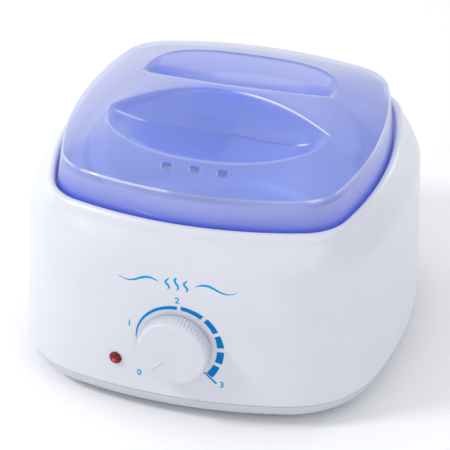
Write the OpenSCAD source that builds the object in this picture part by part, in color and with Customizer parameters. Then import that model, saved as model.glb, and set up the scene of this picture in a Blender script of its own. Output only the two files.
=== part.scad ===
// Wax warmer pot: a squarish plastic heater with a lift-out pot, a bail handle, a knob and a grip lid.
// Millimetres. The table is z = 0, the plan centre is the origin, and the knob faces -Y.

/* [Body] */
// Overall width and depth at the widest place, close to the table
body_w = 190; // [188:0.5:192]
// Height of the crease where the wall turns into the shoulder
wall_h = 87; // [86:0.5:88]
// Wall thickness of the moulded shells
wall_t = 2.4; // [2:0.1:2.6]

/* [Lid] */
// Height of the dome above the lid's own crease
dome_h = 17.1; // [16:0.1:18]
// Depth of the finger grips below the bridge
grip_depth = 15.8; // [12:0.2:16]
// Half-width of the bridge at its middle
bridge_w = 3; // [2.6:0.1:4]
// Wall thickness of the lid, measured straight down
lid_t = 2.2; // [1.8:0.1:2.4]

/* [Knob] */
// Radius of the knob over its ribs
knob_r = 17.6; // [16:0.2:18]
// Number of grip ribs round the knob
knob_ribs = 60; // [40:4:72]
// Pointer angle at rest, clockwise from straight up as seen from the front
pointer_deg = 225; // [180:5:225]

/* [Pot] */
// Inside radius of the lift-out pot
pot_r = 60.5; // [56:0.5:60.5]
// Thickness of the pot's wall
pot_t = 1; // [0.8:0.1:1]
// Radius of the bail's wire
wire_r = 1.6; // [1.4:0.1:1.8]

/* [Hidden] */
$fn = 96;

stations = 64;            // stations round the lofted shells
side_k = 2.35;            // side arc radius over half-width
gap = 0.1;                // clearance between parts that touch in use

// body, from the table up
bw = body_w / 2;
tray_in = 11.6;           // how far the base's flat bottom is set in from the wall
foot_h = 2.5;             // the base cover's underside stands this high on the feet
tray_t = 2.5;             // thickness of that flat bottom
part_z = 13.5;            // parting line between housing and base cover
tongue_h = 3;             // the base cover reaches this far up inside the housing
deck_z = 97;              // ledge the lid and the cup's flange stand on
deck_t = wall_t;
lip_z = deck_z + 6.1;
lip_q = 0.308;            // corner radius over half-width at the lip and the lid
post = 62;                // screw post offset from the centre lines
post_r = 4.5;
foot = 48;                // foot offset from the centre lines
foot_r = 8;
peg_r = 2.5;              // peg of a foot
screw_r = 1.5;            // base screws
head_r = 3;

// heating well and what hangs on it
cup_ri = 63.3;
cup_ro = 64.5;
cup_z = 39.8;             // underside of the heating cup
cup_t = 1.2;              // floor and flange of the cup
band_z = 46;
band_h = 30;
band_ro = cup_ro + 3;
clamp = [0, 73, 61];      // middle of the clamp screw
sleeve_z = 41;
sleeve_h = 48;
sleeve_r = 71;
shield_z = 29;
shield_t = 0.8;
shield_r = 62;
post_turns = [30, 150, 270];
shield_post = 50;         // distance of the shield's posts from the centre
fuse = [0, 22, 37.5];
fuse_r = 2;
fuse_half = 13;           // half its length over the wire ends
fuse_hole = 20;           // holes for its leads in the shield, to each side
bulb = [0, -24, 37];
bulb_r = 2.5;
bulb_half = 25;

// front panel
far_y = 103.7;            // half the overall depth, to the knob's pointer ridge and to the inlet
panel_y = -94.75;         // just proud of the front wall at the knob
knob_z = 43.5;
shaft_r = 3;
bush_r = 4;               // threaded bush of the thermostat
stat_w = 30;              // thermostat case
stat_d = 16;
stat_h = 26;
stat_y = -75;             // its back
ear_x = 18;               // tips of its two terminals
ear_y = -83.6;
lamp = [-30.8, -92.6, 29.5];
lamp_turn = -8.2;         // the wall is curved, so the lamp stands a little askew
lamp_r = 2.55;            // stem of the lens
lens_r = 3.1;             // flange of the lens
lamp_l = 22;              // depth of the lamp's sleeve behind the wall

// back panel and wiring
inlet_z = 28;
inlet_w = 28;
inlet_h = 18;
inlet_y = 80;             // inner end of the inlet
fix_x = 19.5;             // inlet screws
pin_x = 5;
pin_r = 1.2;
pin_in = 76;              // inner end of the pins
block_y = 50;             // terminal block
block_d = 16;
way = 12;                 // spacing of its three ways
wire_z = 10;              // height of its wire holes
lead_r = 1;

// lift-out pot and bail
pot_z = cup_z + cup_t + 0.3;
rim_z = deck_z + cup_t + 0.05;
bead = 68.2;              // radius at which the rim's rolled edge runs
bail_z = rim_z + 4.95;
bail_r = 66;
lug_x = 61.8;             // inner face of the bail's lugs
lug_t = 2;
grip_deg = 44;            // length of the bail's grip as an angle

// lid
lid_a = 76.9;             // half-width at the lid's crease
lid_z = 117.2;            // height of the crease
vent = [13.7, -63];       // spacing and place of the steam vents
grip_k = 0.0052;          // how fast the bridge widens
tip_f = 54.8;             // half-length of the front grip
out_f = 57.2;             // its far edge, from the centre
tip_r = 49.2;             // half-length of the rear grip
out_r = 44.5;             // its far edge
edge_k = 3.2;             // squareness of the dome's level lines
dome_k = 2.14;            // fullness of the dome
grip_exp_f = 2.24;        // roundness of the far edges
grip_exp_r = 3.1;
rear_share = 0.9;         // rear grip's depth over the front one's

// Outline of a rounded square: shallow side arcs joined tangentially to corner arcs
function arc_c(a, s, r) =
  let(b = 2 * (s - a), c = pow(s - a, 2) - pow(s - r, 2)) (-b + sqrt(b * b - 8 * c)) / 4;
function join_deg(a, s, r) =
  let(c = arc_c(a, s, r), t = atan2(c, c + s - a)) atan2(s * sin(t), s * cos(t) - (s - a));
function fold(p) = let(q = ((p % 90) + 90) % 90) q > 45 ? 90 - q : q;
function side_r(a, q) = q >= 1 ? a : side_k * a;
function reach(a, q, p) =
  let(s = side_r(a, q), r = q * a, f = fold(p), c = arc_c(a, s, r))
  q >= 1 ? a
  : f <= join_deg(a, s, r)
  ? sqrt(s * s - pow((s - a) * sin(f), 2)) - (s - a) * cos(f)
  : c * (cos(f) + sin(f)) + sqrt(r * r - pow(c * (cos(f) - sin(f)), 2));
function spot(a, q, p) = reach(a, q, p) * [cos(p), sin(p)];
function ring(a, q, z) =
  [for (i = [0:stations - 1]) let(p = i * 360 / stations, d = spot(a, q, p)) [d[0], d[1], z]];

// Triangles between ring j and ring k of n points
function band(j, k, n) =
  [for (i = [0:n - 1], h = [0, 1]) let(m = (i + 1) % n)
    h == 0 ? [j * n + i, k * n + i, k * n + m] : [j * n + i, k * n + m, j * n + m]];

// Closed shell swept round the outline; rows are [half-width, corner ratio, height]
module loft_loop(rows) {
  n = stations;
  m = len(rows);
  pts = [for (w = rows) each ring(w[0], w[1], w[2])];
  polyhedron(pts, [for (j = [0:m - 1]) each band(j, (j + 1) % m, n)], convexity = 6);
}

// Same, but capped flat at the first and the last row
module loft_cap(rows) {
  n = stations;
  m = len(rows);
  pts = [for (w = rows) each ring(w[0], w[1], w[2])];
  polyhedron(pts, concat(
    [[for (i = [0:n - 1]) i]],
    [for (j = [0:m - 2]) each band(j, j + 1, n)],
    [[for (i = [n - 1:-1:0]) (m - 1) * n + i]]), convexity = 6);
}

module corners(d) {
  for (x = [-d, d], y = [-d, d]) translate([x, y, 0]) children();
}

// Box by its middle
module block(middle, size) {
  translate(middle - size / 2) cube(size);
}

// Local +z becomes the panel's outward direction, -Y
module out_front(at, turn = 0) {
  translate(at) rotate([0, 0, turn]) rotate([90, 0, 0]) children();
}

// Cross-shaped screwdriver slot, cut from the top of a head of radius r down by depth d
module cross(r, d) {
  for (a = [0, 90]) rotate(a) block([0, 0, 0], [1.2 * r, 0.22 * r, 2 * d]);
}

// Round bar through a list of points; inner ends run on a little, so that the legs cross
module bar(p, r) {
  for (i = [0:len(p) - 2]) {
    d = p[i + 1] - p[i];
    l = norm(d);
    e = i > 0 ? 0.7 * r : 0;
    f = i < len(p) - 2 ? 0.7 * r : 0;
    translate(p[i]) rotate([0, acos(d[2] / l), atan2(d[1], d[0])])
      translate([0, 0, -e]) cylinder(r = r, h = l + e + f, $fn = 12);
  }
}

module housing() color("white") difference() {
  union() {
    loft_loop([
      [bw - 0.3, 0.505, part_z + 0.1],
      [bw, 0.505, part_z + 1.3],
      [bw - 0.25, 0.53, 30],
      [bw - 0.6, 0.56, 46],
      [bw - 1.1, 0.585, 64],
      [bw - 1.7, 0.61, wall_h - 7],
      [bw - 2, 0.619, wall_h - 0.4],
      [bw - 2.5, 0.6, wall_h + 1.4],
      [bw - 4.1, 0.55, wall_h + 4.2],
      [bw - 6.4, 0.48, wall_h + 7.2],
      [bw - 8.4, 0.4, 96.8],
      [bw - 9.8, 0.34, 99],
      [bw - 10.4, 0.315, 100.8],
      [bw - 11.4, lip_q, lip_z - 0.7],
      [bw - 12.8, lip_q, lip_z],
      [bw - 14, lip_q, lip_z - 0.1],
      [bw - 14.7, lip_q, lip_z - 0.8],
      [bw - 14.9, lip_q, lip_z - 2.1],
      [bw - 15.05, lip_q, deck_z],
      [cup_ro + 1, 1, deck_z],
      [cup_ro + 1, 1, deck_z - deck_t],
      [bw - 15, 0.34, deck_z - deck_t],
      [bw - 8.7, 0.46, wall_h + 5.2],
      [bw - 5.4, 0.57, wall_h + 1],
      [bw - wall_t - 2, 0.61, wall_h - 2],
      [bw - wall_t - 1.1, 0.575, 64],
      [bw - wall_t - 0.6, 0.55, 46],
      [bw - wall_t - 0.25, 0.52, 30],
      [bw - wall_t, 0.492, part_z + 0.1]]);
    corners(post) translate([0, 0, 9]) cylinder(r = post_r, h = deck_z - deck_t - 8.6, $fn = 48);
    // flat seat for the inlet's flange
    block([0, bw + (0.6 - wall_t) / 2, inlet_z], [50, wall_t + 0.6, 25]);
  }
  corners(post) translate([0, 0, 8]) cylinder(r = screw_r, h = 20, $fn = 32);
  out_front([0, -80, knob_z]) cylinder(r = bush_r + 0.2, h = 20, $fn = 48);
  out_front(lamp, lamp_turn) translate([0, 0, -12]) cylinder(r = lamp_r + 0.05, h = 20, $fn = 48);
  block([0, bw, inlet_z], [inlet_w + 0.4, 30, inlet_h + 0.4]);
  for (x = [-fix_x, fix_x]) out_front([x, 110, inlet_z]) cylinder(r = 1.25, h = 30, $fn = 32);
}

module base_cover() color("whitesmoke") difference() {
  union() {
    difference() {
      loft_cap([
        [bw - tray_in, 0.44, foot_h],
        [bw - 10.4, 0.45, foot_h + 0.4],
        [bw - 6.6, 0.47, 4.4],
        [bw - 2.9, 0.49, 7],
        [bw - 1, 0.5, 10.2],
        [bw - 0.3, 0.505, part_z],
        [bw - wall_t - gap, 0.505, part_z],
        [bw - wall_t - gap, 0.505, part_z + tongue_h],
        [bw - wall_t - 2.2, 0.49, part_z + tongue_h],
        [bw - wall_t - 2.2, 0.475, 11],
        [bw - 7, 0.46, 7.6],
        [bw - tray_in, 0.44, foot_h + tray_t]]);
      // cooling slots, outside the wiring
      for (x = [-66, 66], y = [-24:8:24]) block([x, y, 4], [18, 3, 8]);
    }
    corners(post) translate([0, 0, 4]) cylinder(r = post_r, h = 5, $fn = 48);
  }
  corners(post) {
    translate([0, 0, 1]) cylinder(r = head_r + 0.6, h = 3.7, $fn = 48);
    translate([0, 0, 1]) cylinder(r = screw_r + 0.2, h = 10, $fn = 32);
  }
  corners(foot) translate([0, 0, 1]) cylinder(r = peg_r, h = 6, $fn = 48);
}

module feet() color("dimgray") corners(foot) {
  difference() {
    cylinder(r = foot_r, h = foot_h, $fn = 64);
    // dimple in the sole
    translate([0, 0, -1]) cylinder(r = 3, h = 2, $fn = 48);
  }
  translate([0, 0, foot_h - 0.5]) cylinder(r = peg_r, h = 4, $fn = 48);
}

module base_screws() color("silver") corners(post) difference() {
  union() {
    translate([0, 0, 2.9]) cylinder(r = head_r, h = 1.8, $fn = 48);
    translate([0, 0, 4]) cylinder(r = screw_r, h = 20, $fn = 32);
  }
  translate([0, 0, 2.9]) cross(head_r, 0.9);
}

module heating_cup() color("silver") rotate_extrude() polygon([
  [0, cup_z], [cup_ro - 5, cup_z], [cup_ro - 1.5, cup_z + 1.5], [cup_ro, cup_z + 5],
  [cup_ro, deck_z], [cup_ro + 7.5, deck_z], [cup_ro + 7.5, deck_z + cup_t], [cup_ri + 1, deck_z + cup_t],
  [cup_ri, deck_z + cup_t - 1], [cup_ri, cup_z + 5.5], [cup_ri - 1.4, cup_z + 2.4],
  [cup_ri - 4.4, cup_z + cup_t], [0, cup_z + cup_t]]);

module retaining_ring() color("gray") rotate_extrude() polygon([
  [cup_ro, deck_z - deck_t - 4], [cup_ro + 1, deck_z - deck_t - 4], [cup_ro + 1.2, deck_z - deck_t - 1.2],
  [cup_ro + 6.5, deck_z - deck_t - 1.2], [cup_ro + 6.5, deck_z - deck_t], [cup_ro, deck_z - deck_t]]);

module heater_band() color("goldenrod") difference() {
  union() {
    translate([0, 0, band_z]) difference() {
      cylinder(r = band_ro, h = band_h);
      translate([0, 0, -1]) cylinder(r = cup_ro, h = band_h + 2);
    }
    // the two tabs that the clamp screw pulls together
    for (x = [-3.75, 3.75]) block([x, clamp[1] - 1.2, clamp[2]], [1.5, 10, 18]);
  }
  // gap between the tabs
  block([0, clamp[1] - 8, clamp[2]], [6, 30, 42]);
  translate(clamp) rotate([0, 90, 0]) cylinder(r = screw_r + gap, h = 20, center = true, $fn = 32);
}

module band_clamp_screw() color("silver") translate(clamp) rotate([0, 90, 0]) {
  cylinder(r = screw_r, h = 18, center = true, $fn = 32);
  translate([0, 0, -7]) cylinder(r = head_r, h = 2.5, $fn = 48);
  translate([0, 0, 4.5]) cylinder(r = 3.2, h = 2.4, $fn = 6);
}

module insulation_sleeve() color("ivory") difference() {
  translate([0, 0, sleeve_z]) cylinder(r = sleeve_r, h = sleeve_h);
  translate([0, 0, sleeve_z - 1]) cylinder(r = band_ro, h = sleeve_h + 2);
  // gap for the clamp
  block([0, clamp[1] - 8, clamp[2] + 4], [24, 30, 50]);
}

module heat_shield() color("lightgray") difference() {
  translate([0, 0, shield_z]) difference() {
    cylinder(r = shield_r, h = 5);
    translate([0, 0, shield_t]) cylinder(r = shield_r - shield_t, h = 7);
  }
  for (a = post_turns) rotate(a) translate([shield_post, 0, shield_z - 1])
    cylinder(r = screw_r + gap, h = 3, $fn = 32);
  // the fuse's leads pass through
  for (x = [-fuse_hole, fuse_hole]) translate([x, fuse[1], shield_z - 1]) cylinder(r = 3, h = 3, $fn = 32);
}

module shield_posts() color("silver") for (a = post_turns) rotate(a) translate([shield_post, 0, 0]) {
  translate([0, 0, foot_h + tray_t]) cylinder(r = 3.4, h = shield_z - foot_h - tray_t, $fn = 6);
  translate([0, 0, shield_z - 1]) cylinder(r = screw_r + gap, h = shield_t + 1, $fn = 32);
  translate([0, 0, shield_z + shield_t]) cylinder(r = 2.8, h = 1.6, $fn = 32);
}

module thermal_fuse() color("silver") translate(fuse) rotate([0, 90, 0]) {
  cylinder(r = fuse_r, h = 14, center = true, $fn = 32);
  cylinder(r = 0.5, h = 2 * fuse_half, center = true, $fn = 16);
}

// Sheet clip that hugs a rod of radius r lying under the cup, at height z
module clip(r, z, w) {
  t = 0.6;
  i = r + gap;
  o = i + t;
  rotate([90, 0, 90]) linear_extrude(w, center = true) polygon([
    [-r - 5, cup_z], [-r - 5, cup_z - t], [-o, cup_z - t], [-o, z - o],
    [o, z - o], [o, cup_z - t], [r + 5, cup_z - t], [r + 5, cup_z],
    [i, cup_z], [i, z - i], [-i, z - i], [-i, cup_z]]);
}

module fuse_clip() color("gray") translate([0, fuse[1], 0]) clip(fuse_r, fuse[2], 8);

module thermostat_body() color("saddlebrown") difference() {
  union() {
    block([0, stat_y - stat_d / 2, knob_z], [stat_w, stat_d, stat_h]);
    out_front([0, stat_y - stat_d + 1, knob_z]) cylinder(r = bush_r, h = 7.6, $fn = 48);
    for (x = [-1, 1]) block([x * (ear_x - 1.5), ear_y, knob_z], [3, 0.8, 6]);
  }
  out_front([0, -77, knob_z]) cylinder(r = shaft_r + 0.05, h = 30, $fn = 48);
}

module thermostat_nut() color("silver") out_front([0, panel_y, knob_z]) difference() {
  cylinder(r = 6.3, h = 2.2, $fn = 6);
  translate([0, 0, -1]) cylinder(r = bush_r, h = 5, $fn = 48);
}

// The shaft's end has a flat that drives the knob
module thermostat_shaft() color("silver") difference() {
  out_front([0, -77.2, knob_z]) cylinder(r = shaft_r, h = 24.5, $fn = 48);
  block([0, -100.35, knob_z + 3.2], [8, 3.3, 2]);
}

module sensor_bulb() color("peru") translate(bulb) rotate([0, 90, 0])
  cylinder(r = bulb_r, h = 2 * bulb_half, center = true, $fn = 48);

module bulb_clips() color("gray") for (x = [-15, 15]) translate([x, bulb[1], 0]) clip(bulb_r, bulb[2], 6);

// Runs from the bulb's end round to the thermostat's back
module capillary_tube() color("peru") bar([
  bulb + [bulb_half + 0.4, 0, 0], [32, -27, 36.3], [33.5, -60, 35.4], [12.6, -73.2, 36.8],
  [8.4, stat_y + 3.1, knob_z - 0.1], [8, stat_y + 0.4, knob_z + 0.7]], 0.8);

// Ribbed outline of the knob
function rib(i) = let(a = i * 180 / knob_ribs, r = knob_r - (i % 2) * 0.7) r * [cos(a), sin(a)];

module knob() color("white") difference() {
  union() {
    out_front([0, -95.3, knob_z]) linear_extrude(6.4) polygon([for (i = [0:2 * knob_ribs - 1]) rib(i)]);
    // face with a bevelled edge, and the pointer ridge on it
    out_front([0, 2 - far_y, knob_z]) cylinder(r1 = knob_r - 0.5, r2 = knob_r - 1.1, h = 1.5);
    out_front([0, 0.8 - far_y, knob_z]) rotate(-pointer_deg) translate([-0.9, 6.5, 0]) cube([1.8, 8.4, 0.8]);
  }
  // hollow back round the nut, then the socket for the shaft with its flat
  out_front([0, -95, knob_z]) cylinder(r = 9.5, h = 3.8);
  out_front([0, -95, knob_z]) difference() {
    cylinder(r = shaft_r, h = 6.7, $fn = 48);
    translate([-4, 2.2, 4]) cube([8, 2, 3]);
  }
}

module lamp_lens() color("darkred") out_front(lamp, lamp_turn) {
  translate([0, 0, 0.25]) cylinder(r = lens_r, h = 0.9, $fn = 64);
  translate([0, 0, -7]) cylinder(r = lamp_r, h = 7.6, $fn = 48);
  intersection() {
    translate([0, 0, -0.95]) sphere(r = lens_r + 0.5, $fn = 64);
    translate([0, 0, 1]) cylinder(r = lens_r - 0.1, h = 4, $fn = 64);
  }
}

module lamp_body() color("beige") out_front(lamp, lamp_turn) difference() {
  translate([0, 0, -lamp_l]) cylinder(r = 4.4, h = lamp_l - 2.8, $fn = 48);
  translate([0, 0, -7]) cylinder(r = lamp_r, h = 5, $fn = 48);
}

module inlet_body() color("black") difference() {
  union() {
    block([0, (far_y + inlet_y) / 2, inlet_z], [inlet_w, far_y - inlet_y, inlet_h]);
    block([0, bw + 1.8, inlet_z], [48, 2.4, 22]);
  }
  block([0, 98, inlet_z], [inlet_w - 4, 20, inlet_h - 4]);
  for (x = [-fix_x, fix_x]) out_front([x, 110, inlet_z]) cylinder(r = 1.7, h = 20, $fn = 32);
  for (x = [-pin_x, pin_x]) out_front([x, 90, inlet_z]) cylinder(r = pin_r, h = 12, $fn = 32);
}

module inlet_pins() color("silver") for (x = [-pin_x, pin_x]) out_front([x, 101, inlet_z]) {
  cylinder(r = pin_r, h = 101 - pin_in, $fn = 32);
  sphere(r = pin_r, $fn = 32);
}

module inlet_screws() color("silver") for (x = [-fix_x, fix_x]) difference() {
  union() {
    out_front([x, bw + 4.6, inlet_z]) cylinder(r = 2.8, h = 1.6, $fn = 48);
    out_front([x, bw + 3.5, inlet_z]) cylinder(r = 1.25, h = 12, $fn = 32);
  }
  out_front([x, bw + 4.6, inlet_z]) cross(2.8, 0.6);
}

module terminal_block() color("ivory") difference() {
  block([0, block_y + block_d / 2, wire_z + 1], [3 * way, block_d, 12]);
  for (x = [-way, 0, way]) translate([x, block_y + block_d / 2, wire_z]) {
    translate([0, 0, 2]) cylinder(r = 2.2, h = 6, $fn = 32);
    rotate([-90, 0, 0]) cylinder(r = 1.5, h = block_d + 2, center = true, $fn = 32);
  }
}

// From the inlet's pins down into the back of the terminal block
module mains_leads() for (s = [-1, 1]) color(s > 0 ? "firebrick" : "steelblue")
  bar([[s * pin_x, pin_in - gap, inlet_z], [s * pin_x, pin_in - 3.5, inlet_z],
    [s * way, block_y + block_d + 4.5, wire_z], [s * way, block_y + 14, wire_z]], lead_r);

// Terminal block to thermostat, and thermostat to the heater band's near tab
module thermostat_leads() color("firebrick") {
  bar([[way, block_y + 2, wire_z], [way, block_y - 4, wire_z], [30, 20, 12], [30, -60, 12],
    [21, ear_y + 0.6, 14], [ear_x + 4.2, ear_y + 0.2, knob_z - 1], [ear_x + 0.5, ear_y, knob_z]], lead_r);
  bar([[-ear_x - 0.5, ear_y, knob_z], [-ear_x - 4.2, ear_y + 0.2, knob_z - 1.2], [-30, -71, 37],
    [-64, -34, 36], [-74, 0, 40], [-66, 42, 50], [-26, clamp[1] + 2, 56], [-4.5, clamp[1] + 2, 56]], lead_r);
}

// Terminal block to fuse, and fuse to the heater band's far tab
module fuse_leads() color("steelblue") {
  bar([[-way, block_y + 2, wire_z], [-way, block_y - 6, wire_z], [-21, 23, 16],
    [-fuse_hole, fuse[1], 35], fuse - [fuse_half + 0.4, 0, 0]], lead_r);
  bar([fuse + [fuse_half + 0.4, 0, 0], [fuse_hole, 23, 35.5], [40, 48, 36], [26, 75, 40],
    [12, 77.5, 56], [4.9, clamp[1] + 2, 56]], lead_r);
}

// Lamp to the block's middle way
module lamp_lead() color("black")
  bar([lamp + [3.2, 22.2, 0], lamp + [4.1, 26.6, -1], [-24, 20, wire_z], [0, block_y - 6, wire_z],
    [0, block_y + 2, wire_z]], 0.8);

module inner_pot() color("lightgray") rotate_extrude() union() {
  ro = pot_r + pot_t;
  polygon([[0, pot_z], [ro - 8, pot_z], [ro - 2.3, pot_z + 2.3], [ro, pot_z + 8], [ro, rim_z],
    [bead - 0.2, rim_z], [bead - 0.2, rim_z + pot_t], [pot_r + 1.2, rim_z + pot_t], [pot_r, rim_z - 0.6],
    [pot_r, pot_z + 8.6], [pot_r - 2.2, pot_z + 3.4], [pot_r - 7.6, pot_z + 1.2], [0, pot_z + 1.2]]);
  translate([bead, rim_z + 1]) circle(r = 1, $fn = 32);
}

module bail_lugs() color("silver") for (s = [0, 180]) rotate(s) {
  lug_r = bail_z - rim_z - pot_t;
  translate([lug_x, -lug_r, rim_z + pot_t]) cube([4.8, 2 * lug_r, 1]);
  difference() {
    translate([lug_x, 0, bail_z]) rotate([90, 0, 90]) linear_extrude(lug_t) union() {
      translate([-lug_r, -lug_r]) square([2 * lug_r, lug_r]);
      circle(r = lug_r, $fn = 64);
    }
    translate([lug_x - 2, 0, bail_z]) rotate([0, 90, 0]) cylinder(r = wire_r + 0.05, h = 8, $fn = 48);
  }
}

// Half ring with both ends turned in through the lugs
module bail_handle() color("silver") translate([0, 0, bail_z]) {
  // inner end of the turned-in wire
  pin = lug_x - 1.4;
  rotate_extrude(angle = 180) translate([bail_r, 0]) circle(r = wire_r, $fn = 32);
  for (s = [0, 180]) rotate(s) {
    translate([pin, 0, 0]) rotate([0, 90, 0]) cylinder(r = wire_r, h = bail_r - pin, $fn = 48);
    translate([bail_r, 0, 0]) sphere(r = wire_r, $fn = 32);
  }
}

module bail_grip() color("whitesmoke") translate([0, 0, bail_z]) rotate(90 - grip_deg / 2)
  rotate_extrude(angle = grip_deg) translate([bail_r, 0]) difference() {
    circle(r = wire_r + 1.5, $fn = 48);
    circle(r = wire_r, $fn = 32);
  }

// Lid: a grid that follows the grips' edges, closed by a skirt.
// Columns run -2..2 across X (|c| > 1 fans out to the side), lines run -10..10 from front to rear.
col_half = [0, 0.16, 0.32, 0.48, 0.63, 0.76, 0.86, 0.93, 0.975, 1, 1.25, 1.5, 1.75, 2];
lid_cols = concat([for (i = [len(col_half) - 1:-1:1]) -col_half[i]], col_half);
lid_lines = [for (l = [-10:10]) l];
// how far across a grip each line lies, and how deep the grip is there over its full depth
line_t = [0, 0, 0, 0.12, 0.26, 0.46, 0.72, 1];
line_g = [0, 0, 0, 0.62, 1, 0.9, 0.56, 0];
// where each line meets the lid's edge at the sides, in degrees from the X axis
side_deg = [0, 12, 23.5, 24.7, 26.2, 28, 30, 32, 36, 40.5, 45];

// Distance from the middle in superellipse terms, 1 on the lid's edge
function super_r(p) = pow(pow(abs(p[0]), edge_k) + pow(abs(p[1]), edge_k), 1 / edge_k) / lid_a;
function dome_z(p) =
  norm(p) < 0.01 ? lid_z + dome_h
  : let(f = norm(p) / reach(lid_a, lip_q, atan2(p[1], p[0])), m = super_r(p) * (1 - f * f) + f * f * f)
  lid_z + dome_h * (1 - pow(min(m, 1), dome_k));
// Direction in which a column meets the lid's front or rear edge
function col_deg(c) =
  let(x = abs(c) <= 1 ? abs(c) * 57 : 57 + (abs(c) - 1) * 6) sign(c) * 45 * atan(x / 76) / atan(63 / 76);
function rim_deg(c, l) =
  abs(l) == 10 ? (l < 0 ? 270 + col_deg(c) : 90 - col_deg(c))
  : (c > 0 ? sign(l) * side_deg[abs(l)] : 180 - sign(l) * side_deg[abs(l)]);
// Edge of the bridge between the grips
function edge_y(x) = bridge_w + grip_k * x * x;
// Plan position of a grid point between the grips' tips
function core(u, l) =
  let(n = abs(l), f = l < 0, xt = f ? tip_f : tip_r, x = n == 0 ? u * (tip_f + tip_r) / 2 : u * xt,
    y0 = edge_y(x), ye = edge_y(xt), m = f ? grip_exp_f : grip_exp_r, yo = f ? out_f : out_r,
    y1 = max(ye + (yo - ye) * pow(max(1 - pow(abs(u), m), 0), 1 / m), y0 + 0.8),
    s = f ? -1 : 1, rim = spot(lid_a, lip_q, rim_deg(u, s * 10)))
  n == 0 ? [x, 0]
  : n == 1 ? [x, s * y0 / 2]
  : n <= 7 ? [x, s * (y0 + (y1 - y0) * line_t[n])]
  : n == 10 ? rim
  : [x, s * y1] + (rim - [x, s * y1]) * (n - 7) / 3;
function lid_xy(c, l) =
  abs(c) <= 1 ? core(c, l)
  : abs(l) == 10 ? spot(lid_a, lip_q, rim_deg(c, l))
  : let(e = core(sign(c), l), r = spot(lid_a, lip_q, rim_deg(c, l))) e + (r - e) * (abs(c) - 1);
// Depth of the grips below the dome
function dip(c, l) =
  abs(c) >= 1 || abs(l) > 7 ? 0 : grip_depth * (l < 0 ? 1 : rear_share) * (1 - c * c) * line_g[abs(l)];

module lid_shell() {
  nc = len(lid_cols);
  nl = len(lid_lines);
  g = nc * nl;
  // boundary of the grid, counter-clockwise from the front left corner
  loop = concat(
    [for (i = [0:nc - 1]) [i, 0]],
    [for (j = [1:nl - 1]) [nc - 1, j]],
    [for (i = [nc - 2:-1:0]) [i, nl - 1]],
    [for (j = [nl - 2:-1:1]) [0, j]]);
  m = len(loop);
  top = [for (l = lid_lines, c = lid_cols) let(p = lid_xy(c, l)) [p[0], p[1], dome_z(p) - dip(c, l)]];
  deg = [for (b = loop) let(p = top[b[1] * nc + b[0]]) atan2(p[1], p[0])];
  edge = [for (l = lid_lines, c = lid_cols) abs(c) == 2 || abs(l) == 10];
  low = [for (i = [0:g - 1]) let(p = top[i], k = spot(lid_a - 2.1, 0.29, atan2(p[1], p[0])))
    edge[i] ? [k[0], k[1], lid_z - lid_t] : [p[0], p[1], p[2] - lid_t]];
  skirt = [[lid_a + 0.5, lip_q, lid_z - 0.9], [lid_a + 2.4, lip_q, deck_z + 2],
    [lid_a + 2.5, lip_q, deck_z + 0.05], [lid_a + 0.3, 0.29, deck_z + 0.05]];
  rings = [for (w = skirt) each [for (a = deg) let(d = spot(w[0], w[1], a)) [d[0], d[1], w[2]]]];
  ends = concat(
    [[for (b = loop) b[1] * nc + b[0]]],
    [for (k = [0:3]) [for (i = [0:m - 1]) 2 * g + k * m + i]],
    [[for (b = loop) g + b[1] * nc + b[0]]]);
  polyhedron(concat(top, low, rings), concat(
    [for (j = [0:nl - 2], i = [0:nc - 2], h = [0, 1]) let(a = j * nc + i, b = a + nc)
      h == 0 ? [a, b, b + 1] : [a, b + 1, a + 1]],
    [for (j = [0:nl - 2], i = [0:nc - 2], h = [0, 1]) let(a = g + j * nc + i, b = a + nc)
      h == 0 ? [a, b + 1, b] : [a, a + 1, b + 1]],
    [for (k = [0:4], i = [0:m - 1], h = [0, 1]) let(n = (i + 1) % m, p = ends[k], q = ends[k + 1])
      h == 0 ? [q[i], p[i], p[n]] : [q[i], p[n], q[n]]]), convexity = 8);
}

module lid() color("lightsteelblue", 0.6) difference() {
  lid_shell();
  // steam vents in front of the front grip
  for (i = [-1:1]) translate([i * vent[0], vent[1], 110]) {
    translate([-2.8, -1.3, 0]) cube([5.6, 2.6, 20]);
    translate([-1.9, -2.2, 0]) cube([3.8, 4.4, 20]);
    for (x = [-1.9, 1.9], y = [-1.3, 1.3]) translate([x, y, 0]) cylinder(r = 0.9, h = 20, $fn = 24);
  }
}

housing();
base_cover();
feet();
base_screws();
heating_cup();
retaining_ring();
heater_band();
band_clamp_screw();
insulation_sleeve();
heat_shield();
shield_posts();
thermal_fuse();
fuse_clip();
thermostat_body();
thermostat_nut();
thermostat_shaft();
sensor_bulb();
bulb_clips();
capillary_tube();
knob();
lamp_lens();
lamp_body();
inlet_body();
inlet_pins();
inlet_screws();
terminal_block();
mains_leads();
thermostat_leads();
fuse_leads();
lamp_lead();
inner_pot();
bail_lugs();
bail_handle();
bail_grip();
lid();
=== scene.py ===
import math

import bmesh
import bpy
import numpy as np
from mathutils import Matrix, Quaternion, Vector


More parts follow.
